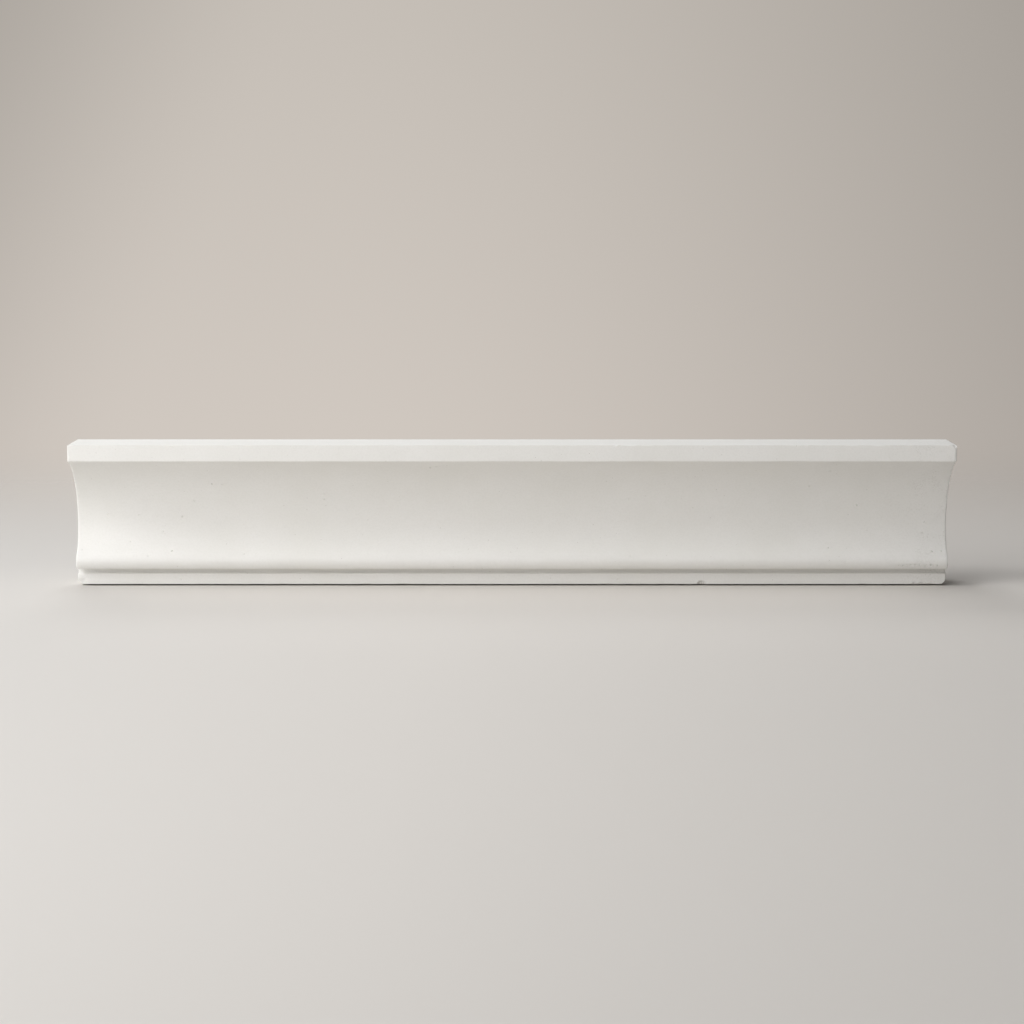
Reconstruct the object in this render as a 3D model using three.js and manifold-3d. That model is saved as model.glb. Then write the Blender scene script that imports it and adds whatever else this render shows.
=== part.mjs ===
// Crown moulding length: one solid plaster casting, run to a single section and cut square at both
// ends. It stands on its bed, with the hollow of the cove towards -Y and the wall side towards +Y.
// Millimetres, +Z up, length along X, origin at the middle of the bed.
//
// The section is drawn by setback (how far behind the face of the top band) and height (above the
// bed). From the bed up: relief, base band, quirk, nose, cove, top band.

import * as THREE from 'three';
import { mergeVertices } from 'three/addons/utils/BufferGeometryUtils.js';
import Module from 'manifold-3d';

// Driving dimensions: the run
const LENGTH = 1000;
const END_ARRIS = 1.2; // softened edge round both sawn ends

// Driving dimensions: base band, and the shallow relief under it that runs out towards the back
const BED_RELIEF_HEIGHT = 2.1; // at the face of the base band
const BED_RELIEF_BACK_HEIGHT = 0.4;
const BED_RELIEF_DEPTH = 10;
const BASE_BAND_HEIGHT = 14.9; // above the bed
const BASE_ARRIS = 1.5;

// Driving dimensions: quirk, the narrow recess between base band and nose
const QUIRK_HEIGHT = 6.3;
const QUIRK_DEPTH = 3.5; // behind the base band
const QUIRK_RUN = 15.9; // behind the front of the nose
const QUIRK_FILLET = 2;

// Driving dimensions: nose and cove
const NOSE_SETBACK = 38.1;
const NOSE_RADIUS = 8; // above the front of the nose
const NOSE_LOWER_RADIUS = 13; // below it
const NOSE_DROP = 8.7; // from the front of the nose down to its lower edge
const COVE_DEPTH = 57.7; // setback of the deepest line of the hollow
const COVE_LOWER_RADIUS = 48;
const COVE_UPPER_RADIUS = 80.3;

// Driving dimensions: top band and back
const TOP_BAND_HEIGHT = 18.8;
const TOP_BAND_LOWER_ARRIS = 1.8;
const BACKING = 47.3; // plaster between the deepest line of the cove and the wall
const BACK_BEVEL = 41; // clearance bevel between the ceiling face and the wall face

// Driving dimensions: wear at the lower corners of the ends
const LEFT_WEAR = { along: 4.5, height: 4.5, depth: 14 };
const RIGHT_WEAR = { along: 5, height: 4.5, depth: 14 };

// Driving dimensions: chips along the foot of the base band and along the front edge of the ceiling
// face, each placed by its distance from the right-hand end
const BASE_CHIPS = [
  { fromRight: 281, length: 11, height: 3.8, depth: 3.2, turn: 0.12 },
  { fromRight: 27, length: 8, height: 2.1, depth: 2.2, turn: -0.08 },
  { fromRight: 17, length: 7, height: 1.5, depth: 1.8, turn: 0.1 },
];
const TOP_CHIPS = [
  { fromRight: 384, length: 5, height: 1.3, depth: 2.2, turn: 0.05 },
  { fromRight: 368, length: 22, height: 0.8, depth: 2.4, turn: 0.01 },
  { fromRight: 1.5, length: 6, height: 2.6, depth: 3, turn: 0.2 },
];

// How far a facet may lie inside the arc it stands for
const CHORD_TOLERANCE = 0.04;

// Setbacks and heights that follow from the driving dimensions
const projection = COVE_DEPTH + BACKING;
const quirkRoof = BASE_BAND_HEIGHT + QUIRK_HEIGHT;
const noseHeight = quirkRoof + NOSE_DROP;
const noseCentre = new THREE.Vector2(NOSE_SETBACK + NOSE_RADIUS, noseHeight);
const noseLowerCentre = new THREE.Vector2(NOSE_SETBACK + NOSE_LOWER_RADIUS, noseHeight);
const noseTurn = Math.asin(NOSE_DROP / NOSE_LOWER_RADIUS);
const quirkSetback = NOSE_SETBACK + QUIRK_RUN;
const baseSetback = quirkSetback - QUIRK_DEPTH;
const bedSetback = baseSetback + BED_RELIEF_DEPTH;

// The lower arc of the cove touches the nose, so the line between their centres is both radii long
const lowerArcSetback = COVE_DEPTH - COVE_LOWER_RADIUS;
const coveHeight = noseCentre.y + Math.sqrt(
  (COVE_LOWER_RADIUS + NOSE_RADIUS) ** 2 - (noseCentre.x - lowerArcSetback) ** 2,
);
const lowerArcCentre = new THREE.Vector2(lowerArcSetback, coveHeight);
const upperArcCentre = new THREE.Vector2(COVE_DEPTH - COVE_UPPER_RADIUS, coveHeight);

// The upper arc ends below the face of the top band, at a setback of zero
const coveTop = coveHeight + Math.sqrt(COVE_UPPER_RADIUS ** 2 - upperArcCentre.x ** 2);
const drop = coveTop + TOP_BAND_HEIGHT;

/** Points along an arc, with as many chords as its radius needs. */
function arcPoints(centre, radius, startAngle, endAngle) {
  const step = 2 * Math.acos(1 - Math.min(CHORD_TOLERANCE / radius, 0.5));
  const chords = Math.max(2, Math.ceil(Math.abs(endAngle - startAngle) / step));
  const clockwise = endAngle < startAngle;
  const arc = new THREE.ArcCurve(centre.x, centre.y, radius, startAngle, endAngle, clockwise);
  return arc.getPoints(chords);
}

/** Points of the arc that rounds the corner between two straight edges and is tangent to both. */
function roundedCorner(before, corner, after, radius) {
  const toBefore = before.clone().sub(corner).normalize();
  const toAfter = after.clone().sub(corner).normalize();
  const halfAngle = Math.acos(toBefore.dot(toAfter)) / 2;
  const bisector = toBefore.clone().add(toAfter).normalize();
  const centre = corner.clone().addScaledVector(bisector, radius / Math.sin(halfAngle));
  const reach = radius / Math.tan(halfAngle);
  const start = corner.clone().addScaledVector(toBefore, reach).sub(centre).angle();
  const end = corner.clone().addScaledVector(toAfter, reach).sub(centre).angle();
  const turn = THREE.MathUtils.euclideanModulo(end - start + Math.PI, 2 * Math.PI) - Math.PI;
  return arcPoints(centre, radius, start, start + turn);
}

/** Outline of the section, anticlockwise from the front of the bed. */
function sectionOutline() {
  const point = (setback, height) => new THREE.Vector2(setback, height);

  const bedFront = point(bedSetback, 0);
  const bedBack = point(projection, 0);
  const wallTop = point(projection, drop - BACK_BEVEL);
  const ceilingBack = point(projection - BACK_BEVEL, drop);
  const ceilingFront = point(0, drop);
  const bandFoot = point(0, coveTop);
  const quirkTop = point(quirkSetback, quirkRoof);
  const quirkFoot = point(quirkSetback, BASE_BAND_HEIGHT);
  const baseTop = point(baseSetback, BASE_BAND_HEIGHT);
  const baseFoot = point(baseSetback, BED_RELIEF_HEIGHT);
  const reliefBack = point(bedSetback, BED_RELIEF_BACK_HEIGHT);
  const noseFoot = point(noseLowerCentre.x - NOSE_LOWER_RADIUS * Math.cos(noseTurn), quirkRoof);

  // The soffit under the top band starts along the tangent of the cove's upper arc
  const coveStart = bandFoot.clone().sub(upperArcCentre).angle();
  const soffit = bandFoot.clone().add(point(Math.sin(coveStart), -Math.cos(coveStart)));
  const arrisReach = TOP_BAND_LOWER_ARRIS * Math.tan(coveStart / 2);
  const coveFrom = coveStart - arrisReach / COVE_UPPER_RADIUS;
  const noseMeets = noseCentre.clone().sub(lowerArcCentre).angle() - 2 * Math.PI;

  return [
    bedFront,
    bedBack,
    wallTop,
    ceilingBack,
    ceilingFront,
    ...roundedCorner(ceilingFront, bandFoot, soffit, TOP_BAND_LOWER_ARRIS).slice(0, -1),
    ...arcPoints(upperArcCentre, COVE_UPPER_RADIUS, coveFrom, 0),
    ...arcPoints(lowerArcCentre, COVE_LOWER_RADIUS, 0, noseMeets).slice(1),
    ...arcPoints(noseCentre, NOSE_RADIUS, noseMeets + Math.PI, Math.PI).slice(1),
    ...arcPoints(noseLowerCentre, NOSE_LOWER_RADIUS, Math.PI, Math.PI + noseTurn).slice(1),
    ...roundedCorner(noseFoot, quirkTop, quirkFoot, QUIRK_FILLET),
    quirkFoot,
    ...roundedCorner(quirkFoot, baseTop, baseFoot, BASE_ARRIS),
    baseFoot,
    reliefBack,
  ];
}

/** The whole run: setback along x, height along y, and z along the length from the left end. */
function runGeometry() {
  const geometry = new THREE.ExtrudeGeometry(new THREE.Shape(sectionOutline()), {
    depth: LENGTH - 2 * END_ARRIS,
    steps: 1,
    bevelEnabled: true,
    bevelSize: END_ARRIS,
    bevelOffset: -END_ARRIS,
    bevelThickness: END_ARRIS,
    bevelSegments: 2,
  });
  return geometry.translate(0, 0, END_ARRIS);
}

/** A lump that bites a chip out of an edge: reach is its half-size along x, y and z. */
function chipLump(centre, reach, turn) {
  const lump = new THREE.IcosahedronGeometry(1, 1);
  lump.scale(reach.x, reach.y, reach.z);
  lump.rotateX(turn);
  return lump.translate(centre.x, centre.y, centre.z);
}

/** A block whose one face lies on the plane through three points, on the side of the corner. */
function wearBlock(first, second, third, corner) {
  const plane = new THREE.Plane().setFromCoplanarPoints(first, second, third);
  if (plane.distanceToPoint(corner) < 0) {
    plane.negate();
  }
  const span = 3 * Math.max(first.distanceTo(second), second.distanceTo(third));
  const block = new THREE.BoxGeometry(span, span, span).translate(0, 0, span / 2);
  const forwards = new THREE.Vector3(0, 0, 1);
  const turn = new THREE.Quaternion().setFromUnitVectors(forwards, plane.normal);
  block.applyQuaternion(turn);
  return block.translate(first.x, first.y, first.z);
}

/** The worn lower corner of the base band at one end, where inwards points along the length. */
function cornerWear(end, inwards, wear) {
  const foot = BED_RELIEF_HEIGHT;
  const corner = new THREE.Vector3(baseSetback, foot, end);
  const onFoot = new THREE.Vector3(baseSetback, foot, end + inwards * wear.along);
  const onFront = new THREE.Vector3(baseSetback, foot + wear.height, end);
  const onEnd = new THREE.Vector3(baseSetback + wear.depth, foot, end);
  return wearBlock(onFoot, onFront, onEnd, corner);
}

/** Every chip and worn corner, each as the shape that is taken away. */
function lostPieces() {
  const lost = [
    cornerWear(0, 1, LEFT_WEAR),
    cornerWear(LENGTH, -1, RIGHT_WEAR),
  ];
  for (const chip of BASE_CHIPS) {
    const centre = new THREE.Vector3(baseSetback, BED_RELIEF_HEIGHT, LENGTH - chip.fromRight);
    lost.push(chipLump(centre, new THREE.Vector3(chip.depth, chip.height, chip.length / 2), chip.turn));
  }
  for (const chip of TOP_CHIPS) {
    const centre = new THREE.Vector3(0, drop, LENGTH - chip.fromRight);
    lost.push(chipLump(centre, new THREE.Vector3(chip.depth, chip.height, chip.length / 2), chip.turn));
  }
  return lost;
}

/** A closed three.js geometry as a solid that can be cut. */
function toSolid(wasm, geometry) {
  const bare = geometry.clone();
  bare.deleteAttribute('normal');
  bare.deleteAttribute('uv');
  const merged = mergeVertices(bare, 1e-5);
  return new wasm.Manifold(new wasm.Mesh({
    numProp: 3,
    vertProperties: Float32Array.from(merged.attributes.position.array),
    triVerts: Uint32Array.from(merged.index.array),
  }));
}

/** A solid back as a three.js geometry with flat faces. */
function toGeometry(solid) {
  const { numProp, vertProperties, triVerts } = solid.getMesh();
  const positions = new Float32Array(triVerts.length * 3);
  triVerts.forEach((vertex, corner) => {
    for (let axis = 0; axis < 3; axis += 1) {
      positions[3 * corner + axis] = vertProperties[numProp * vertex + axis];
    }
  });
  const geometry = new THREE.BufferGeometry();
  geometry.setAttribute('position', new THREE.BufferAttribute(positions, 3));
  geometry.computeVertexNormals();
  return geometry;
}

const wasm = await Module();
wasm.setup();

const casting = lostPieces().reduce(
  (solid, lost) => solid.subtract(toSolid(wasm, lost)),
  toSolid(wasm, runGeometry()),
);

const plaster = new THREE.MeshStandardMaterial({ color: '#efeee9', roughness: 0.9, metalness: 0 });
const moulding = new THREE.Mesh(toGeometry(casting), plaster);
moulding.name = 'crown_moulding';

// Setback runs along +Y, height along +Z and the length along +X
const sectionFrame = new THREE.Matrix4().makeBasis(
  new THREE.Vector3(0, 1, 0),
  new THREE.Vector3(0, 0, 1),
  new THREE.Vector3(1, 0, 0),
);
moulding.quaternion.setFromRotationMatrix(sectionFrame);
moulding.position.set(-LENGTH / 2, -projection / 2, 0);

const mouldingLength = new THREE.Group();
mouldingLength.add(moulding);

export default mouldingLength;
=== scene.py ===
"""A straight length of plain cove crown moulding in cast gypsum plaster, on a pale studio floor.

Metres, +Z up, length along X. The hollow of the cove faces -Y, the wall side faces +Y, and the
origin is the middle of the bed. A place on the section is given by its setback, which is how far
it lies behind the face of the top band, and by its height above the bed.
"""

import logging
import math
import random
from dataclasses import dataclass, field
from enum import Enum

import bmesh
import bpy
from mathutils import Matrix, Vector, noise
from mathutils.bvhtree import BVHTree


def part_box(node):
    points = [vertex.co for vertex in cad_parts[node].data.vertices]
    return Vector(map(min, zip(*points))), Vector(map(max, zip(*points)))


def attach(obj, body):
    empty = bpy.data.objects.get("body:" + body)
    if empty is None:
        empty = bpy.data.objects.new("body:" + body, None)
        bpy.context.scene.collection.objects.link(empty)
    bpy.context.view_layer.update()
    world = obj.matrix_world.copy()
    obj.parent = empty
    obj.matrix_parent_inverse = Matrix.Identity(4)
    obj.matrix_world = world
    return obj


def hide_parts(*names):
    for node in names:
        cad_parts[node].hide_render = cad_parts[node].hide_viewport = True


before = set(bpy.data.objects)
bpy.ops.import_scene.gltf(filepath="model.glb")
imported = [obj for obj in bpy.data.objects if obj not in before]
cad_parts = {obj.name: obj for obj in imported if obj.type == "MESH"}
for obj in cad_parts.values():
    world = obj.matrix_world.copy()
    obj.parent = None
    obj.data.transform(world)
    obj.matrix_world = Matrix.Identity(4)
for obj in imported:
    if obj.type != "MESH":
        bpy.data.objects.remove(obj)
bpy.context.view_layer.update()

MM = 0.001
NODE = "crown_moulding"
BODY = "root"

Tree = bpy.types.NodeTree
Socket = bpy.types.NodeSocket

log = logging.getLogger("crown_moulding")


def linear(hex_colour: str) -> tuple[float, float, float, float]:
    """Turns an sRGB hex colour into linear light.

    Args:
        hex_colour: Six hex digits after a hash sign.

    Returns:
        Red, green, blue and an alpha of one.
    """
    channels = [int(hex_colour[i:i + 2], 16) / 255 for i in (1, 3, 5)]
    light = [c / 12.92 if c <= 0.04045 else ((c + 0.055) / 1.055) ** 2.4 for c in channels]
    return (*light, 1.0)


def add_node(
    tree: Tree,
    kind: str,
    settings: dict | None = None,
    links: dict | None = None,
) -> bpy.types.Node:
    """Adds one node with its settings and its incoming links.

    Args:
        tree: The node tree that gets the node.
        kind: The node's type name.
        settings: Values by property name, input name or input number.
        links: Output sockets by input name or input number.

    Returns:
        The new node.
    """
    node = tree.nodes.new(kind)
    for key, value in (settings or {}).items():
        if isinstance(key, int) or key in node.inputs:
            node.inputs[key].default_value = value
        else:
            setattr(node, key, value)
    for key, output in (links or {}).items():
        tree.links.new(output, node.inputs[key])
    return node


def ramp(
    tree: Tree,
    value: Socket,
    start: float,
    stop: float,
    low: float = 0.0,
    high: float = 1.0,
    smooth: bool = False,
) -> Socket:
    """Turns a range of a value into another range, and holds it there beyond both ends.

    Args:
        tree: The node tree that gets the node.
        value: The value.
        start: Where its range begins.
        stop: Where its range ends.
        low: The result at the start.
        high: The result at the stop.
        smooth: Whether the result eases in and out.

    Returns:
        The result.
    """
    settings = {"From Min": start, "From Max": stop, "To Min": low, "To Max": high}
    if smooth:
        settings["interpolation_type"] = "SMOOTHSTEP"
    return add_node(tree, "ShaderNodeMapRange", settings, {"Value": value}).outputs["Result"]


def unevenness(
    tree: Tree, place: Socket, size: float, detail: float, roughness: float
) -> Socket:
    """Soft noise with features of about one size.

    Args:
        tree: The node tree that gets the node.
        place: Coordinates.
        size: Distance between features.
        detail: How many finer layers it has.
        roughness: How strong each finer layer is.

    Returns:
        The noise, mostly between 0.3 and 0.7.
    """
    settings = {"Scale": 1 / size, "Detail": detail, "Roughness": roughness}
    return add_node(tree, "ShaderNodeTexNoise", settings, {"Vector": place}).outputs["Fac"]


def combine(tree: Tree, operation: str, first: Socket, second: Socket) -> Socket:
    """Combines two values by a named operation."""
    node = add_node(tree, "ShaderNodeMath", {"operation": operation}, {0: first, 1: second})
    return node.outputs[0]


def mix_colours(tree: Tree, share: Socket, first: str | Socket, second: str) -> Socket:
    """Mixes two colours.

    Args:
        tree: The node tree that gets the node.
        share: The share of the second colour.
        first: A hex colour, or an output that gives a colour.
        second: A hex colour.

    Returns:
        The mixed colour.
    """
    settings = {"data_type": "RGBA", 7: linear(second)}
    links = {0: share}
    if isinstance(first, str):
        settings[6] = linear(first)
    else:
        links[6] = first
    return add_node(tree, "ShaderNodeMix", settings, links).outputs[2]


def stray(place: Vector) -> float:
    """Rough noise about zero at a place, in three layers that each are half as wide as the last."""
    return noise.fractal(place, 1.0, 2.0, 3)


def new_material(name: str) -> bpy.types.Material:
    """Makes an empty node material."""
    material = bpy.data.materials.new(name)
    material.use_nodes = True
    material.node_tree.nodes.clear()
    return material


@dataclass(frozen=True)
class CastPlaster:
    """Gypsum plaster, cast in a smooth run mould and left bare.

    To the eye it is a dead matt, faintly warm white, with cloudy patches where the set plaster
    dried unevenly, a fine mottling, drag lines along the run and a sprinkling of grit. One end is
    sandier, in patches.
    """

    name: str = "cast_gypsum_plaster"
    body_hex: str = "#F2F1EE"
    cloud_hex: str = "#EFEEEA"
    mottle_hex: str = "#E8E7E3"
    grit_hex: str = "#A8A298"
    cloud_size: float = 90 * MM
    cloud_from: float = 0.4  # noise value at which a patch begins
    cloud_to: float = 0.7  # noise value at which it is full
    mottle_size: float = 2.2 * MM
    mottle_share: float = 0.4  # away from the sandier end
    mottle_from: float = 0.42
    mottle_to: float = 0.75
    grit_spacing: float = 11 * MM
    grit_size: float = 0.6 * MM
    grit_strength: float = 0.5
    sand_spacing: float = 3 * MM
    sand_size: float = 0.8 * MM
    sand_strength: float = 0.32
    sand_patch: float = 26 * MM
    sand_patch_from: float = 0.44
    sand_patch_to: float = 0.6
    sandy_from: float = 0.41  # X where the sandier end begins
    sandy_to: float = 0.49
    drag_width: float = 2.2 * MM
    drag_length: float = 160 * MM
    drag_depth: float = 0.05 * MM
    drag_strength: float = 0.4
    grain_size: float = 1.3 * MM  # real grain is near 0.1 mm, and is drawn coarser so that it shows
    grain_depth: float = 0.2 * MM
    grain_strength: float = 0.6  # away from the sandier end
    roughness: float = 0.86
    sheen: float = 0.25  # low, since light that scatters inside plaster softens its sheen
    refraction: float = 1.52

    def build(self) -> bpy.types.Material:
        """Makes the material.

        Returns:
            The finished material.
        """
        material = new_material(self.name)
        tree = material.node_tree
        place = add_node(tree, "ShaderNodeTexCoord").outputs["Object"]
        sandy = self._sandy_end(tree, place)
        shader = add_node(
            tree,
            "ShaderNodeBsdfPrincipled",
            {
                "Roughness": self.roughness,
                "Specular IOR Level": self.sheen,
                "IOR": self.refraction,
            },
            {
                "Base Color": self._colour(tree, place, sandy),
                "Normal": self._relief(tree, place, sandy),
            },
        )
        add_node(tree, "ShaderNodeOutputMaterial", links={"Surface": shader.outputs["BSDF"]})
        return material

    def _sandy_end(self, tree: Tree, place: Socket) -> Socket:
        """Patches of sandiness, from none to full towards the sandier end.

        Args:
            tree: The material's nodes.
            place: Object coordinates.

        Returns:
            The share of sandiness.
        """
        along = add_node(tree, "ShaderNodeSeparateXYZ", links={"Vector": place}).outputs["X"]
        fade = ramp(tree, along, self.sandy_from, self.sandy_to, smooth=True)
        patches = self._patches(
            tree, place, self.sand_patch, self.sand_patch_from, self.sand_patch_to
        )
        return combine(tree, "MULTIPLY", fade, patches)

    def _patches(
        self, tree: Tree, place: Socket, size: float, start: float, stop: float
    ) -> Socket:
        """Cloudy patches.

        Args:
            tree: The material's nodes.
            place: Object coordinates.
            size: Distance between patches.
            start: The value of the noise where a patch begins.
            stop: The value where it is full.

        Returns:
            The share of the patches.
        """
        clouds = unevenness(tree, place, size, detail=4.0, roughness=0.55)
        return ramp(tree, clouds, start, stop)

    def _specks(
        self, tree: Tree, place: Socket, spacing: float, size: float, strength: float
    ) -> Socket:
        """Dots of grit, one to each cell.

        Args:
            tree: The material's nodes.
            place: Object coordinates.
            spacing: Distance between grains.
            size: Width of a grain.
            strength: How strongly a grain shows.

        Returns:
            The share of grit colour.
        """
        cells = add_node(
            tree,
            "ShaderNodeTexVoronoi",
            {"Scale": 1 / spacing, "Randomness": 1.0},
            {"Vector": place},
        )
        reach = size / spacing
        return ramp(tree, cells.outputs["Distance"], 0.5 * reach, reach, strength, 0.0)

    def _mottling(self, tree: Tree, place: Socket, sandy: Socket) -> Socket:
        """Fine uneven tone, like that of a rubbed surface, which is stronger at the sandy end.

        Args:
            tree: The material's nodes.
            place: Object coordinates.
            sandy: The share of sandiness.

        Returns:
            The share of the duller tone.
        """
        flecks = unevenness(tree, place, self.mottle_size, detail=2.0, roughness=0.6)
        strength = ramp(tree, sandy, 0.0, 1.0, self.mottle_share, 1.0)
        share = add_node(
            tree,
            "ShaderNodeMapRange",
            {"From Min": self.mottle_from, "From Max": self.mottle_to},
            {"Value": flecks, "To Max": strength},
        )
        return share.outputs["Result"]

    def _colour(self, tree: Tree, place: Socket, sandy: Socket) -> Socket:
        """White body, cloudy patches, fine mottling and darker grains of grit.

        Args:
            tree: The material's nodes.
            place: Object coordinates.
            sandy: The share of sandiness.

        Returns:
            The colour.
        """
        clouds = self._patches(tree, place, self.cloud_size, self.cloud_from, self.cloud_to)
        body = mix_colours(tree, clouds, self.body_hex, self.cloud_hex)
        mottled = mix_colours(tree, self._mottling(tree, place, sandy), body, self.mottle_hex)
        grit = self._specks(tree, place, self.grit_spacing, self.grit_size, self.grit_strength)
        sand = self._specks(tree, place, self.sand_spacing, self.sand_size, self.sand_strength)
        sand_share = combine(tree, "MULTIPLY", sand, sandy)
        specks = combine(tree, "MAXIMUM", grit, sand_share)
        return mix_colours(tree, specks, mottled, self.grit_hex)

    def _relief(self, tree: Tree, place: Socket, sandy: Socket) -> Socket:
        """Drag lines along the run and a fine tooth, which is stronger at the sandy end.

        Args:
            tree: The material's nodes.
            place: Object coordinates.
            sandy: The share of sandiness.

        Returns:
            The bumped normal.
        """
        stretched = add_node(
            tree,
            "ShaderNodeMapping",
            {"Scale": (1 / self.drag_length, 1 / self.drag_width, 1 / self.drag_width)},
            {"Vector": place},
        )
        run = stretched.outputs["Vector"]
        drag = unevenness(tree, run, size=1.0, detail=3.0, roughness=0.55)
        drag_bump = add_node(
            tree,
            "ShaderNodeBump",
            {"Strength": self.drag_strength, "Distance": self.drag_depth},
            {"Height": drag},
        )
        tooth = unevenness(tree, place, self.grain_size, detail=3.0, roughness=0.7)
        tooth_strength = ramp(tree, sandy, 0.0, 1.0, self.grain_strength, 1.0)
        tooth_bump = add_node(
            tree,
            "ShaderNodeBump",
            {"Distance": self.grain_depth},
            {"Height": tooth, "Strength": tooth_strength, "Normal": drag_bump.outputs["Normal"]},
        )
        return tooth_bump.outputs["Normal"]


@dataclass(frozen=True)
class BackdropPaper:
    """Matt warm grey backdrop paper, laid flat, which fades out far from the object.

    To the eye it is a plain pale floor with no edge.
    """

    name: str = "matt_backdrop_paper"
    body_hex: str = "#DDD9D4"
    left_shade_hex: str = "#D6D3CF"  # painted shade: darker towards the left, which evens out the stronger light of the lamps there
    shade_from: float = -0.6  # X where the painted shade is darkest
    shade_to: float = -0.1
    roughness: float = 0.95
    sheen: float = 0.2
    back_from: float = 0.1  # Y where the floor starts to fade out behind the object
    back_to: float = 1.5
    fade_from: float = 2.1  # distance at which it fades out all round
    fade_to: float = 3.4

    def build(self) -> bpy.types.Material:
        """Makes the material.

        Returns:
            The finished material.
        """
        material = new_material(self.name)
        tree = material.node_tree
        place = add_node(tree, "ShaderNodeTexCoord").outputs["Object"]
        axes = add_node(tree, "ShaderNodeSeparateXYZ", links={"Vector": place})
        away = add_node(tree, "ShaderNodeVectorMath", {"operation": "LENGTH"}, {0: place})
        behind = ramp(tree, axes.outputs["Y"], self.back_from, self.back_to, smooth=True)
        far = ramp(tree, away.outputs["Value"], self.fade_from, self.fade_to, smooth=True)
        # Painted shade that darkens the floor towards the left, where the lamps light it most
        shade_leftwards = ramp(tree, axes.outputs["X"], self.shade_from, self.shade_to)
        paper = add_node(
            tree,
            "ShaderNodeBsdfPrincipled",
            {"Roughness": self.roughness, "Specular IOR Level": self.sheen},
            {"Base Color": mix_colours(tree, shade_leftwards, self.left_shade_hex, self.body_hex)},
        )
        clear = add_node(tree, "ShaderNodeBsdfTransparent")
        faded = add_node(
            tree,
            "ShaderNodeMixShader",
            links={
                0: combine(tree, "MAXIMUM", behind, far),
                1: paper.outputs["BSDF"],
                2: clear.outputs["BSDF"],
            },
        )
        add_node(tree, "ShaderNodeOutputMaterial", links={"Surface": faded.outputs["Shader"]})
        return material


@dataclass(frozen=True)
class PhotoCamera:
    """The viewpoint of the photograph: centred on the length and looking slightly down."""

    lens_mm: float = 85.12
    sensor_mm: float = 36.0
    frame_pixels: int = 1024
    distance: float = 2.704  # level distance to the face of the top band
    height: float = 0.4635  # above the floor
    pitch: float = math.radians(7.808)  # below level
    nearest: float = 0.05
    farthest: float = 100.0

    def place(self, face: float) -> Vector:
        """Where the lens is, for a face of the top band at this Y."""
        return Vector((0.0, face - self.distance, self.height))

    def turn(self) -> Matrix:
        """The camera's rotation in the row frame."""
        return Matrix.Rotation(math.pi / 2 - self.pitch, 3, "X")

    def ray(self, column: float, row: float) -> Vector:
        """The direction seen at a pixel of the photograph.

        Args:
            column: Pixels from the left.
            row: Pixels from the top.

        Returns:
            A unit vector in the row frame.
        """
        half = self.frame_pixels / 2
        focal = self.lens_mm / self.sensor_mm * self.frame_pixels
        seen = Vector(((column - half) / focal, (half - row) / focal, -1.0))
        return (self.turn() @ seen).normalized()

    def build(self, face: float) -> bpy.types.Object:
        """Makes the camera and gives it to the scene.

        Args:
            face: Y of the face of the top band.

        Returns:
            The camera object.
        """
        data = bpy.data.cameras.new("photo_camera")
        data.lens = self.lens_mm
        data.sensor_width = self.sensor_mm
        data.clip_start = self.nearest
        data.clip_end = self.farthest
        camera = bpy.data.objects.new("photo_camera", data)
        camera.location = self.place(face)
        camera.rotation_euler = self.turn().to_euler()
        bpy.context.scene.collection.objects.link(camera)
        bpy.context.scene.camera = camera
        return camera


class Arris(Enum):
    """An outer edge of the section that wears and chips."""

    CEILING_FRONT = "front of the ceiling face"
    BAND_FOOT = "foot of the top band"
    BASE_TOP = "top of the base band"
    BASE_FOOT = "foot of the base band"


class End(Enum):
    """An end of the length, by the direction that points out of it."""

    LEFT = -1
    RIGHT = 1


class Side(Enum):
    """A side of the casting, by the direction in which it is looked at."""

    FRONT = (0.0, 1.0, 0.0)
    TOP = (0.0, 0.0, -1.0)
    BACK = (0.0, -1.0, 0.0)
    LEFT_END = (1.0, 0.0, 0.0)
    RIGHT_END = (-1.0, 0.0, 0.0)


@dataclass(frozen=True)
class Chip:
    """A bite out of an arris.

    Attributes:
        arris: The edge that it is bitten out of.
        along: X of its middle.
        length: Its length along the arris.
        reach: How far it goes back from the face.
        rise: How far it goes up or down from the edge.
        turn: Its lean along the arris, in degrees.
    """

    arris: Arris
    along: float
    length: float
    reach: float
    rise: float
    turn: float


@dataclass(frozen=True)
class WornCorner:
    """A lower corner of the base band that is worn off at one end.

    Attributes:
        end: The end that it is at.
        along: How far along the foot the wear goes.
        height: How far up the face it goes.
        depth: How far back along the end it goes.
    """

    end: End
    along: float
    height: float
    depth: float


@dataclass(frozen=True)
class SeenHole:
    """An air hole at a place read off the photograph.

    Attributes:
        column: Pixels from the left of the 1024 pixel frame.
        row: Pixels from the top.
        width: Width of its mouth.
        depth: Its depth as a share of its width.
    """

    column: float
    row: float
    width: float
    depth: float = 0.85


@dataclass(frozen=True)
class HoleField:
    """A scatter of air holes over one side.

    Attributes:
        side: The side that they are on.
        count: How many there are.
        start: X where the scatter begins.
        stop: X where it ends.
        smallest: The smallest width.
        largest: The largest width.
    """

    side: Side
    count: int
    start: float
    stop: float
    smallest: float
    largest: float


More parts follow.
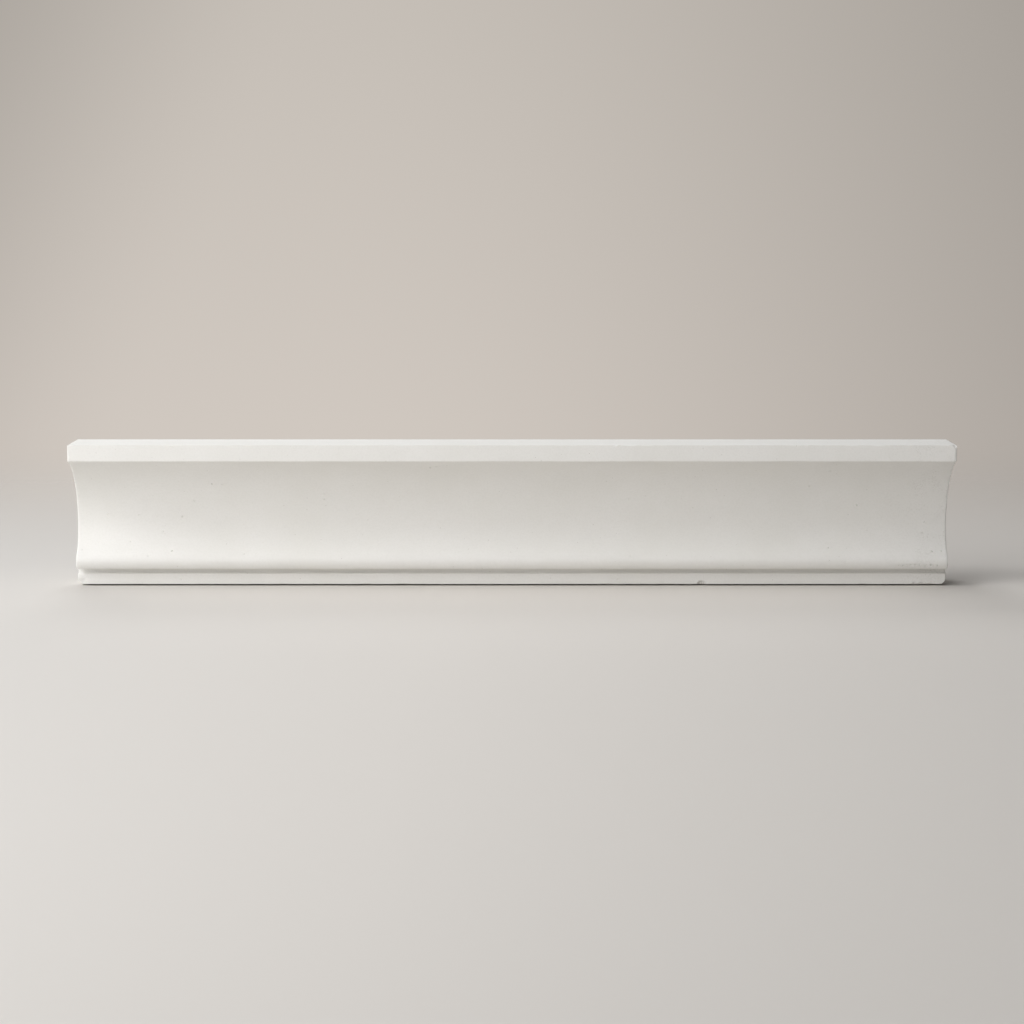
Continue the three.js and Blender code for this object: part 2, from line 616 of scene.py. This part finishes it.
@dataclass
class SectionPen:
    """Draws the section as one chain of edges, by extruding and spinning its last point."""

    mesh: bmesh.types.BMesh
    plane: float  # X of the section
    face: float  # Y at a setback of zero
    tip: bmesh.types.BMVert | None = None

    def place(self, setback: float, height: float) -> Vector:
        """The point in the row frame at this setback and height."""
        return Vector((self.plane, self.face + setback, height))

    def start(self, setback: float, height: float) -> None:
        """Puts down the first point."""
        made = bmesh.ops.create_vert(self.mesh, co=self.place(setback, height))
        self.tip = made["vert"][0]

    def straight(self, setback: float, height: float, spacing: float) -> None:
        """Draws a straight stretch.

        Args:
            setback: Setback of its far end.
            height: Height of its far end.
            spacing: The longest edge that it may have.
        """
        stretch = self.place(setback, height) - self.tip.co
        edges = max(1, math.ceil(stretch.length / spacing))
        for _ in range(edges):
            made = bmesh.ops.extrude_vert_indiv(self.mesh, verts=[self.tip])
            self.tip = made["verts"][0]
            bmesh.ops.translate(self.mesh, verts=[self.tip], vec=stretch / edges)

    def arc(self, centre: Vector, angle: float, spacing: float) -> None:
        """Spins the last point round a centre.

        Args:
            centre: Setback and height of the centre.
            angle: The turn in radians, positive from the back round over the top.
            spacing: The longest edge that it may have.
        """
        middle = self.place(*centre)
        edges = max(3, math.ceil(abs(angle) * (self.tip.co - middle).length / spacing))
        made = bmesh.ops.spin(
            self.mesh,
            geom=[self.tip],
            cent=middle,
            axis=(1, 0, 0),
            angle=angle,
            steps=edges,
            use_duplicate=False,
        )
        self.tip = next(g for g in made["geom_last"] if isinstance(g, bmesh.types.BMVert))


@dataclass
class CoveSection:
    """Sizes of the section, with its overall depth and height taken from the frame."""

    projection: float
    drop: float
    relief_height: float = 2.1 * MM
    relief_back: float = 0.4 * MM  # height at the back of the relief
    relief_depth: float = 10 * MM
    base_height: float = 14.9 * MM
    quirk_height: float = 6.3 * MM
    quirk_depth: float = 3.5 * MM
    quirk_run: float = 15.9 * MM  # behind the front of the nose
    quirk_fillet: float = 2 * MM
    nose_setback: float = 38.1 * MM
    nose_radius: float = 8 * MM  # above the front of the nose
    nose_lower: float = 13 * MM  # radius below it
    nose_drop: float = 8.7 * MM  # from the front of the nose down to its lower edge
    cove_depth: float = 57.7 * MM
    lower_radius: float = 48 * MM
    upper_radius: float = 80.3 * MM
    top_band: float = 18.8 * MM
    back_bevel: float = 41 * MM
    band_arris: float = 1.8 * MM
    base_arris: float = 1.5 * MM
    fine: float = 2.4 * MM  # longest mesh edge where the section shows
    tight: float = 1.2 * MM  # longest mesh edge round the nose
    arris_edge: float = 0.5 * MM  # longest mesh edge round an arris
    coarse: float = 5 * MM  # longest mesh edge on the hidden faces

    def __post_init__(self) -> None:
        """Works out the centres of the arcs and the sizes that follow from them."""
        self.quirk_roof = self.base_height + self.quirk_height
        nose_height = self.quirk_roof + self.nose_drop
        self.nose = Vector((self.nose_setback + self.nose_radius, nose_height))
        self.nose_below = Vector((self.nose_setback + self.nose_lower, nose_height))
        lower_setback = self.cove_depth - self.lower_radius
        reach = self.lower_radius + self.nose_radius
        rise = math.sqrt(reach ** 2 - (self.nose.x - lower_setback) ** 2)
        self.lower = Vector((lower_setback, self.nose.y + rise))
        self.upper = Vector((self.cove_depth - self.upper_radius, self.lower.y))
        self.quirk_setback = self.nose_setback + self.quirk_run
        self.base_setback = self.quirk_setback - self.quirk_depth
        self.bed_setback = self.base_setback + self.relief_depth
        self.cove_top = self.drop - self.top_band
        self.soffit_angle = math.acos(-self.upper.x / self.upper_radius)
        self.soffit_reach = self.band_arris * math.tan(self.soffit_angle / 2)

    def arris(self, which: Arris) -> Vector:
        """Setback and height of an outer edge, before it is rounded."""
        return {
            Arris.CEILING_FRONT: Vector((0.0, self.drop)),
            Arris.BAND_FOOT: Vector((0.0, self.cove_top)),
            Arris.BASE_TOP: Vector((self.base_setback, self.base_height)),
            Arris.BASE_FOOT: Vector((self.base_setback, self.relief_height)),
        }[which]

    def draw(self, pen: SectionPen) -> None:
        """Draws the whole section, from the front of the bed round the back and over the top.

        Args:
            pen: The pen that draws it.
        """
        pen.start(self.bed_setback, 0.0)
        pen.straight(self.projection, 0.0, self.coarse)
        pen.straight(self.projection, self.drop - self.back_bevel, self.coarse)
        pen.straight(self.projection - self.back_bevel, self.drop, self.coarse)
        self._draw_top_band(pen)
        self._draw_cove(pen)
        self._draw_quirk(pen)
        self._draw_base_band(pen)

    def _draw_top_band(self, pen: SectionPen) -> None:
        """Ceiling face, upright band and the rounded edge into the cove."""
        foot = self.cove_top + self.soffit_reach
        pen.straight(0.0, self.drop, self.fine)
        pen.straight(0.0, foot, self.fine)
        pen.arc(Vector((self.band_arris, foot)), self.soffit_angle, self.arris_edge)

    def _draw_cove(self, pen: SectionPen) -> None:
        """Both arcs of the hollow and the round nose below it."""
        turned = self.soffit_angle - self.soffit_reach / self.upper_radius
        across = Vector((math.cos(turned), math.sin(turned)))
        meeting = math.atan2(self.lower.y - self.nose.y, self.nose.x - self.lower.x)
        pen.straight(*(self.upper + self.upper_radius * across), self.fine)
        pen.arc(self.upper, -turned, self.fine)
        pen.arc(self.lower, -meeting, self.fine)
        pen.arc(self.nose, meeting, self.tight)
        pen.arc(self.nose_below, math.asin(self.nose_drop / self.nose_lower), self.tight)

    def _draw_quirk(self, pen: SectionPen) -> None:
        """The narrow recess behind the nose, with its upper corner filled."""
        inner = self.quirk_setback - self.quirk_fillet
        pen.straight(inner, self.quirk_roof, self.fine)
        fillet = Vector((inner, self.quirk_roof - self.quirk_fillet))
        pen.arc(fillet, -math.pi / 2, self.tight)
        pen.straight(self.quirk_setback, self.base_height, self.fine)

    def _draw_base_band(self, pen: SectionPen) -> None:
        """The base band and the shallow relief under its front."""
        top = Vector((self.base_setback + self.base_arris, self.base_height - self.base_arris))
        pen.straight(top.x, self.base_height, self.fine)
        pen.arc(top, math.pi / 2, self.arris_edge)
        pen.straight(self.base_setback, self.relief_height, self.fine)
        pen.straight(self.bed_setback, self.relief_back, self.fine)
        pen.straight(self.bed_setback, 0.0, self.fine)


@dataclass
class MouldingLength:
    """The whole casting: one body run to its section, with its wear, chips and air holes."""

    section: CoveSection
    camera: PhotoCamera
    low: Vector
    high: Vector
    chips: tuple[Chip, ...]
    corners: tuple[WornCorner, ...]
    seen_holes: tuple[SeenHole, ...]
    fields: tuple[HoleField, ...]
    finish: CastPlaster = field(default_factory=CastPlaster)
    step: float = 3 * MM  # mesh edges along the length
    weld: float = 0.01 * MM  # points nearer than this are one
    end_arris: float = 1.3 * MM
    bed_top: float = 0.1 * MM  # nothing below this is worn
    least_outward: float = 0.2  # nor is a face whose normal is less than this square to the run
    wave_depth: float = 0.12 * MM
    wave_length: float = 170 * MM
    ridge_depth: float = 0.03 * MM
    ridge_width: float = 9 * MM
    ridge_stretch: float = 40  # length of a ridge as a share of its width
    nick_depth: float = 0.8 * MM
    nick_length: float = 13 * MM
    nick_reach: float = 3 * MM
    nick_onset: float = 0.2  # noise value above which an arris is nicked
    nick_shift: float = 7.3  # sets the nicks of one arris apart from those of the next
    back_turn: float = 0.5  # Y of the normals that count as the back
    back_depth: float = 0.5 * MM
    back_patch: float = 26 * MM
    chip_detail: int = 4
    chip_stray: float = 0.35  # how far a chip's surface strays, as a share of its radius
    chip_shift: float = 3.1  # sets the shape of one chip apart from that of the next
    lump_grain: float = 1.7
    lump_shift: tuple[float, float, float] = (1.0, -1.0, 0.37)
    block_share: float = 2.5  # width of the block that wears a corner, over the wear
    block_cuts: int = 11
    crumb_depth: float = 0.25 * MM  # unevenness of a worn corner
    crumb_size: float = 4 * MM
    hole_detail: int = 2
    hole_stray: float = 0.3
    hole_stretch: tuple[float, float] = (0.8, 1.25)
    hole_shapes: float = 50  # span of the offsets that give each hole its shape
    hole_depth: float = 0.45  # depth of a scattered hole as a share of its width
    hole_gap: float = 0.9  # least distance between holes as a share of both widths
    stand_off: float = 2.0  # how far out the places of scattered holes are looked for
    grazing: float = 0.15  # least cosine between a side and a face of it that gets a hole
    sharp_angle: float = math.radians(32)
    seed: int = 11
    holes: list[tuple[Vector, float]] = field(default_factory=list)

    def build(self) -> bpy.types.Object:
        """Makes the casting.

        Returns:
            The finished object.
        """
        body = bmesh.new()
        self._run(body)
        self._weather(body)
        tree = BVHTree.FromBMesh(body)
        casting = self._to_object(body, "moulding_casting")
        for corner in self.corners:
            self._cut(casting, self._corner_block(corner))
        self._cut(casting, self._chip_lumps())
        self._cut(casting, self._air_holes(tree))
        casting.data.materials.clear()
        casting.data.materials.append(self.finish.build())
        casting.data.set_sharp_from_angle(angle=self.sharp_angle)
        return casting

    def _run(self, body: bmesh.types.BMesh) -> None:
        """Draws the section at the left end, runs it along the length and closes both ends."""
        self.section.draw(SectionPen(body, plane=self.low.x, face=self.low.y))
        bmesh.ops.remove_doubles(body, verts=body.verts[:], dist=self.weld)
        left_loop = body.edges[:]
        length = self.high.x - self.low.x
        steps = round(length / self.step)
        run = bmesh.ops.spin(
            body,
            geom=body.verts[:] + left_loop,
            cent=(0, 0, 0),
            axis=(1, 0, 0),
            dvec=(length / steps, 0, 0),
            angle=0.0,
            steps=steps,
            use_duplicate=False,
        )
        right_loop = [g for g in run["geom_last"] if isinstance(g, bmesh.types.BMEdge)]
        bmesh.ops.edgeloop_fill(body, edges=left_loop)
        bmesh.ops.edgeloop_fill(body, edges=right_loop)
        bmesh.ops.recalc_face_normals(body, faces=body.faces[:])
        bmesh.ops.bevel(
            body,
            geom=left_loop + right_loop,
            offset=self.end_arris,
            offset_type="OFFSET",
            segments=2,
            profile=0.5,
            affect="EDGES",
            material=-1,
            clamp_overlap=False,
        )
        body.normal_update()

    def _weather(self, body: bmesh.types.BMesh) -> None:
        """Moves the surface in by a little, square to the length, and leaves the bed flat."""
        moves = []
        for vert in body.verts:
            outward = Vector((0.0, vert.normal.y, vert.normal.z))
            if vert.co.z < self.bed_top or outward.length < self.least_outward:
                continue
            moves.append((vert, outward.normalized() * self._lost_depth(vert.co, vert.normal)))
        for vert, move in moves:
            vert.co -= move

    def _lost_depth(self, place: Vector, normal: Vector) -> float:
        """How much of the surface is missing at a place.

        Args:
            place: The place on the surface.
            normal: The direction that faces out there.

        Returns:
            The missing depth, never negative.
        """
        if normal.y > self.back_turn:
            return self.back_depth * min(1.0, abs(stray(place / self.back_patch)))
        waves = 1 + noise.noise(place / self.wave_length)
        across = Vector((place.x / self.ridge_stretch, place.y, place.z)) / self.ridge_width
        ridges = 1 + noise.noise(across)
        lost = 0.5 * self.wave_depth * waves + 0.5 * self.ridge_depth * ridges
        spot = Vector((place.y - self.low.y, place.z))
        for number, arris in enumerate(Arris):
            near = 1 - (spot - self.section.arris(arris)).length / self.nick_reach
            if near > 0:
                lane = self.nick_shift * number
                nick = noise.noise(Vector((place.x / self.nick_length, lane, 0.5)))
                lost += self.nick_depth * near * max(0.0, nick - self.nick_onset)
        return lost

    def _to_object(self, mesh: bmesh.types.BMesh, name: str) -> bpy.types.Object:
        """Turns a bmesh into a linked object and frees it."""
        data = bpy.data.meshes.new(name)
        mesh.to_mesh(data)
        mesh.free()
        made = bpy.data.objects.new(name, data)
        bpy.context.scene.collection.objects.link(made)
        return made

    def _cut(self, casting: bpy.types.Object, lost: bmesh.types.BMesh) -> None:
        """Takes a closed shape away from the casting for good.

        Args:
            casting: The casting's object.
            lost: The shape that is lost, whose parts don't overlap each other.
        """
        cutter = self._to_object(lost, "cutter")
        cut = casting.modifiers.new("cut", "BOOLEAN")
        cut.operation = "DIFFERENCE"
        cut.solver = "MANIFOLD"
        cut.object = cutter
        graph = bpy.context.evaluated_depsgraph_get()
        data = bpy.data.meshes.new_from_object(casting.evaluated_get(graph), depsgraph=graph)
        casting.modifiers.clear()
        casting.data = data
        bpy.data.objects.remove(cutter)

    def _lump(
        self,
        mesh: bmesh.types.BMesh,
        matrix: Matrix,
        detail: int,
        uneven: float,
        offset: float,
    ) -> None:
        """Adds an uneven round lump.

        Args:
            mesh: Where it is added.
            matrix: Its size, turn and place, for a lump of radius one.
            detail: How finely it is divided.
            uneven: How far its surface strays, as a share of its radius.
            offset: A number that gives each lump a shape of its own.
        """
        made = bmesh.ops.create_icosphere(mesh, subdivisions=detail, radius=1.0)
        shift = Vector([share * offset for share in self.lump_shift])
        for vert in made["verts"]:
            vert.co *= 1 + uneven * stray(self.lump_grain * vert.co + shift)
        bmesh.ops.transform(mesh, matrix=matrix, verts=made["verts"])

    def _chip_lumps(self) -> bmesh.types.BMesh:
        """The pieces that have been chipped off the arrises.

        Returns:
            One lump for each chip.
        """
        lumps = bmesh.new()
        for number, chip in enumerate(self.chips):
            spot = self.section.arris(chip.arris)
            place = Vector((chip.along, self.low.y + spot.x, spot.y))
            size = Matrix.Diagonal((chip.length / 2, chip.reach, chip.rise, 1.0))
            turn = Matrix.Rotation(math.radians(chip.turn), 4, "Y")
            matrix = Matrix.Translation(place) @ turn @ size
            self._lump(lumps, matrix, self.chip_detail, self.chip_stray, self.chip_shift * number)
        return lumps

    def _corner_block(self, corner: WornCorner) -> bmesh.types.BMesh:
        """The corner of the base band that has worn off at an end.

        Args:
            corner: Which corner it is, and how much of it is gone.

        Returns:
            A block whose uneven lower face lies on the worn plane.
        """
        out = corner.end.value
        spot = self.section.arris(Arris.BASE_FOOT)
        tip = Vector((out * self.high.x, self.low.y + spot.x, spot.y))
        on_foot = tip - Vector((out * corner.along, 0, 0))
        on_face = tip + Vector((0, 0, corner.height))
        on_end = tip + Vector((0, corner.depth, 0))
        normal = (on_face - on_foot).cross(on_end - on_foot).normalized()
        if normal.dot(tip - on_foot) < 0:
            normal.negate()
        block = bmesh.new()
        span = self.block_share * max(corner.along, corner.height, corner.depth)
        made = bmesh.ops.create_cube(block, size=span)
        bmesh.ops.translate(block, verts=made["verts"], vec=(0, 0, span / 2))
        bmesh.ops.subdivide_edges(
            block, edges=block.edges[:], cuts=self.block_cuts, use_grid_fill=True
        )
        for vert in block.verts:
            if vert.co.z < self.weld:
                vert.co.z += self.crumb_depth * stray(vert.co / self.crumb_size)
        turn = normal.to_track_quat("Z", "Y").to_matrix().to_4x4()
        middle = (on_foot + on_face + on_end) / 3
        bmesh.ops.transform(block, matrix=Matrix.Translation(middle) @ turn, verts=block.verts[:])
        return block

    def _air_holes(self, tree: BVHTree) -> bmesh.types.BMesh:
        """Every air hole, first those read off the photograph and then the scattered ones.

        Args:
            tree: The surface that they are let into.

        Returns:
            One lump for each hole.
        """
        lumps = bmesh.new()
        draw = random.Random(self.seed)
        lens = self.camera.place(self.low.y)
        for hole in self.seen_holes:
            spot, normal, _, _ = tree.ray_cast(lens, self.camera.ray(hole.column, hole.row))
            if spot is not None:
                self._let_in(lumps, spot, normal, hole.width, hole.depth, draw)
        for scatter in self.fields:
            self._scatter(lumps, tree, scatter, draw)
        return lumps

    def _scatter(
        self,
        lumps: bmesh.types.BMesh,
        tree: BVHTree,
        scatter: HoleField,
        draw: random.Random,
    ) -> None:
        """Lets a scatter of holes into one side.

        Args:
            lumps: Where the holes are added.
            tree: The surface that they are let into.
            scatter: The side, the number and the widths.
            draw: The source of chance.
        """
        towards = Vector(scatter.side.value)
        for _ in range(scatter.count):
            start = Vector((
                draw.uniform(scatter.start, scatter.stop),
                draw.uniform(self.low.y, self.high.y),
                draw.uniform(self.low.z, self.high.z),
            ))
            share = draw.random() ** 2
            width = scatter.smallest + share * (scatter.largest - scatter.smallest)
            spot, normal, _, _ = tree.ray_cast(start - self.stand_off * towards, towards)
            if spot is not None and abs(normal.dot(towards)) > self.grazing:
                self._let_in(lumps, spot, normal, width, self.hole_depth, draw)

    def _let_in(
        self,
        lumps: bmesh.types.BMesh,
        spot: Vector,
        normal: Vector,
        width: float,
        depth: float,
        draw: random.Random,
    ) -> None:
        """Adds one hole, unless it would touch another.

        Args:
            lumps: Where it is added.
            spot: The middle of its mouth.
            normal: The direction that faces out there.
            width: Width of its mouth.
            depth: Its depth as a share of its width.
            draw: The source of chance.
        """
        stretch = draw.uniform(*self.hole_stretch)
        lean = draw.uniform(0, math.pi)
        offset = draw.uniform(0, self.hole_shapes)
        for other, other_width in self.holes:
            if (spot - other).length < self.hole_gap * (width + other_width):
                return
        self.holes.append((spot, width))
        size = Matrix.Diagonal((width / 2 * stretch, width / 2 / stretch, width * depth, 1.0))
        turn = normal.to_track_quat("Z", "Y").to_matrix().to_4x4()
        matrix = Matrix.Translation(spot) @ turn @ Matrix.Rotation(lean, 4, "Z") @ size
        self._lump(lumps, matrix, self.hole_detail, self.hole_stray, offset)


@dataclass(frozen=True)
class SoftLight:
    """A square soft light.

    Attributes:
        name: What it is called.
        place: Where its middle is.
        size: Its width and height.
        power: Its power in watts.
        aim: The point that it faces, which is the middle of the casting.
    """

    name: str
    place: tuple[float, float, float]
    size: float
    power: float
    aim: tuple[float, float, float] = (0.0, 0.0, 0.08)

    def build(self) -> bpy.types.Object:
        """Makes the light.

        Returns:
            The light's object.
        """
        data = bpy.data.lights.new(self.name, "AREA")
        data.shape = "SQUARE"
        data.size = self.size
        data.energy = self.power
        lamp = bpy.data.objects.new(self.name, data)
        lamp.location = self.place
        facing = Vector(self.aim) - Vector(self.place)
        lamp.rotation_euler = facing.to_track_quat("-Z", "Y").to_euler()
        lamp.visible_camera = False
        bpy.context.scene.collection.objects.link(lamp)
        return lamp


@dataclass
class Studio:
    """Pale floor, soft lights and a weak fill from the front, with a backdrop behind that has
    painted shade.
    """

    floor_radius: float = 3.5
    floor_drop: float = 0.05 * MM  # keeps the floor off the underside of the bed
    paper: BackdropPaper = field(default_factory=BackdropPaper)
    fill_hex: str = "#FFFBF8"
    fill_towards: tuple[float, float, float] = (0.0, -1.0, 0.1)  # where the fill is brightest
    fill_strength: float = 0.25
    low_hex: str = "#D0C8C0"  # backdrop at the floor line, where its painted shade is lightest
    high_hex: str = "#C6BFB7"  # backdrop above the object, darker with painted shade
    rise: tuple[float, float] = (-0.1, 0.07)  # Z of the directions between the two colours
    right_shade: float = 0.513  # painted shade: brightness of the backdrop far to the right
    right_span: tuple[float, float] = (-0.09, 0.41)  # X of the directions where the painted shade darkens it
    corner_shade: float = 0.7  # painted shade: brightness of its upper left corner
    corner_towards: tuple[float, float, float] = (-1.0, 0.0, 0.4)
    corner_span: tuple[float, float] = (0.11, 0.28)  # how far that way the painted shade darkens it
    lamps: tuple[SoftLight, ...] = (
        SoftLight("window_light", (-3.0, -1.6, 2.6), 1.6, 59.6),
        SoftLight("front_key", (-1.2, -2.0, 1.2), 1.0, 16.0),
        SoftLight("high_key", (-1.3, -0.6, 1.9), 1.0, 7.0),
        SoftLight("low_key", (-2.2, -0.8, 0.45), 0.7, 10.2),
        SoftLight("top_light", (0.0, 0.0, 2.4), 1.6, 14.7),
        SoftLight("back_light", (-0.6, 1.5, 1.8), 1.2, 14.7),
    )

    def build(self) -> bpy.types.Object:
        """Makes the floor, the lights and the world.

        Returns:
            The floor.
        """
        bpy.context.scene.view_settings.view_transform = "Standard"
        for lamp in self.lamps:
            lamp.build()
        self._world()
        return self._floor()

    def _floor(self) -> bpy.types.Object:
        """Makes the flat floor that the casting stands on."""
        mesh = bmesh.new()
        bmesh.ops.create_circle(mesh, cap_ends=True, segments=96, radius=self.floor_radius)
        bmesh.ops.translate(mesh, verts=mesh.verts[:], vec=(0, 0, -self.floor_drop))
        data = bpy.data.meshes.new("studio_floor")
        mesh.to_mesh(data)
        mesh.free()
        data.materials.append(self.paper.build())
        floor = bpy.data.objects.new("studio_floor", data)
        bpy.context.scene.collection.objects.link(floor)
        return floor

    def _world(self) -> None:
        """Soft light from the front, and a seen backdrop with painted shade, darker upwards and to
        the right.
        """
        world = bpy.data.worlds.new("soft_studio")
        world.use_nodes = True
        bpy.context.scene.world = world
        tree = world.node_tree
        tree.nodes.clear()
        towards = add_node(tree, "ShaderNodeTexCoord").outputs["Generated"]
        axes = add_node(tree, "ShaderNodeSeparateXYZ", links={"Vector": towards})
        frontwards = add_node(
            tree,
            "ShaderNodeVectorMath",
            {"operation": "DOT_PRODUCT", 1: self.fill_towards},
            {0: towards},
        )
        strength = ramp(tree, frontwards.outputs["Value"], 0.0, 1.0, 0.0, self.fill_strength)
        fill = add_node(
            tree,
            "ShaderNodeBackground",
            {"Color": linear(self.fill_hex)},
            {"Strength": strength},
        )
        # Painted shade: the seen backdrop darkens upwards, to the right and in its upper left
        # corner
        upwards = ramp(tree, axes.outputs["Z"], *self.rise)
        rightwards = ramp(
            tree, axes.outputs["X"], *self.right_span, 1.0, self.right_shade, smooth=True
        )
        cornerwards = add_node(
            tree,
            "ShaderNodeVectorMath",
            {"operation": "DOT_PRODUCT", 1: self.corner_towards},
            {0: towards},
        )
        reach = cornerwards.outputs["Value"]
        corner = ramp(tree, reach, *self.corner_span, 1.0, self.corner_shade, smooth=True)
        seen = add_node(
            tree,
            "ShaderNodeBackground",
            links={
                "Color": mix_colours(tree, upwards, self.low_hex, self.high_hex),
                "Strength": combine(tree, "MULTIPLY", rightwards, corner),
            },
        )
        path = add_node(tree, "ShaderNodeLightPath")
        both = add_node(
            tree,
            "ShaderNodeMixShader",
            links={
                0: path.outputs["Is Camera Ray"],
                1: fill.outputs["Background"],
                2: seen.outputs["Background"],
            },
        )
        add_node(tree, "ShaderNodeOutputWorld", links={"Surface": both.outputs["Shader"]})


# Chips in the order of their places from left to right
CHIPS = (
    Chip(Arris.BASE_FOOT, -497.5 * MM, 18 * MM, 1.2 * MM, 7.5 * MM, 8),
    Chip(Arris.BASE_FOOT, -164 * MM, 6 * MM, 0.9 * MM, 1.0 * MM, 3),
    Chip(Arris.BASE_FOOT, 41.5 * MM, 5 * MM, 0.8 * MM, 0.9 * MM, -3),
    Chip(Arris.BASE_FOOT, 110 * MM, 17 * MM, 0.9 * MM, 1.0 * MM, 1),
    Chip(Arris.CEILING_FRONT, 116 * MM, 5 * MM, 2.2 * MM, 1.3 * MM, 3),
    Chip(Arris.CEILING_FRONT, 132.5 * MM, 22 * MM, 2.4 * MM, 0.8 * MM, 0.6),
    Chip(Arris.BASE_FOOT, 219 * MM, 11 * MM, 3.2 * MM, 3.8 * MM, 7),
    Chip(Arris.BASE_FOOT, 462.5 * MM, 5 * MM, 1.8 * MM, 2.4 * MM, 9),
    Chip(Arris.BASE_FOOT, 471 * MM, 7 * MM, 2.2 * MM, 2.1 * MM, -5),
    Chip(Arris.BASE_FOOT, 482 * MM, 8 * MM, 1.8 * MM, 1.4 * MM, 6),
    Chip(Arris.CEILING_FRONT, 498.5 * MM, 6 * MM, 3 * MM, 2.6 * MM, 11),
)

WORN_CORNERS = (
    WornCorner(End.LEFT, 4.5 * MM, 4.5 * MM, 14 * MM),
    WornCorner(End.RIGHT, 5 * MM, 4.5 * MM, 14 * MM),
    WornCorner(End.RIGHT, 2.4 * MM, 9 * MM, 4 * MM),
)

PINHOLE = 1.6 * MM
PORE = 1.9 * MM
PIT = 2.3 * MM

# The marks that show, those in the left half first
SEEN_HOLES = (
    SeenHole(212, 484, PIT),
    SeenHole(222, 484.5, PINHOLE),
    SeenHole(324, 494, PIT),
    SeenHole(324, 499, PORE),
    SeenHole(182, 516.5, PIT),
    SeenHole(156, 516, PINHOLE),
    SeenHole(139, 515, PINHOLE),
    SeenHole(108, 514, PORE),
    SeenHole(194, 501, PORE),
    SeenHole(163, 532, PORE),
    SeenHole(130, 542, PORE),
    SeenHole(172, 551, PORE),
    SeenHole(148, 556, PINHOLE),
    SeenHole(82, 550, PINHOLE),
    SeenHole(244, 554, PINHOLE),
    SeenHole(171, 448, PINHOLE),
    SeenHole(181, 579, PORE),
    SeenHole(348, 562, PIT, 0.12),
    SeenHole(430, 467.6, PIT),
    SeenHole(421, 467, PINHOLE),
    SeenHole(436, 466.6, PINHOLE),
    SeenHole(628, 499, PORE),
    SeenHole(630, 556, PINHOLE),
    SeenHole(617, 579, PINHOLE),
    SeenHole(826, 465, PORE),
    SeenHole(830, 471, PORE),
    SeenHole(809, 486, PORE),
    SeenHole(828, 548, PORE),
    SeenHole(846, 562, PINHOLE),
    SeenHole(857, 505, PIT),
    SeenHole(924, 522, PIT),
    SeenHole(922, 533, PORE),
    SeenHole(932, 551.6, PIT),
    SeenHole(941.5, 551.2, PIT),
    SeenHole(899, 565.6, PORE),
    SeenHole(903, 565.5, PORE),
    SeenHole(907, 565, PINHOLE),
    SeenHole(910.4, 564.8, PORE),
    SeenHole(914.8, 564.7, PORE),
    SeenHole(919.4, 564.9, PORE),
    SeenHole(925, 565.8, PINHOLE),
    SeenHole(931, 564.8, PIT),
    SeenHole(937.4, 565.6, PORE),
    SeenHole(802, 445.2, PINHOLE),
    SeenHole(807, 445.5, PORE),
    SeenHole(812, 445.2, PINHOLE),
    SeenHole(896, 445.3, PINHOLE),
    SeenHole(903, 445.1, PORE),
    SeenHole(909, 445.5, PINHOLE),
    SeenHole(916, 445.2, PORE),
    SeenHole(951.5, 444.8, PORE),
    SeenHole(954.4, 447.2, PORE, 1.1),
)

HOLE_FIELDS = (
    HoleField(Side.FRONT, 60, -0.495, 0.40, 0.5 * MM, 1.4 * MM),
    HoleField(Side.FRONT, 34, 0.40, 0.496, 0.7 * MM, 1.7 * MM),
    HoleField(Side.TOP, 50, -0.495, 0.495, 0.6 * MM, 1.5 * MM),
    HoleField(Side.BACK, 90, -0.495, 0.495, 0.8 * MM, 3.2 * MM),
    HoleField(Side.LEFT_END, 14, -0.5, 0.5, 0.7 * MM, 1.8 * MM),
    HoleField(Side.RIGHT_END, 18, -0.5, 0.5, 0.7 * MM, 2.0 * MM),
)


def main() -> None:
    """Builds the camera, the casting and the studio."""
    logging.basicConfig(level=logging.INFO, format="%(name)s: %(message)s")
    low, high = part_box(NODE)
    camera = PhotoCamera()
    camera.build(low.y)
    section = CoveSection(projection=high.y - low.y, drop=high.z)
    moulding = MouldingLength(
        section, camera, low, high, CHIPS, WORN_CORNERS, SEEN_HOLES, HOLE_FIELDS
    )
    casting = moulding.build()
    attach(casting, BODY)
    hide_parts(NODE)
    casting.data.calc_loop_triangles()
    log.info("%s: %d triangles, %d air holes", casting.name,
             len(casting.data.loop_triangles), len(moulding.holes))
    studio = Studio()
    floor = studio.build()
    log.info("%s: radius %.1f m", floor.name, studio.floor_radius)


if __name__ == "__main__":
    main()
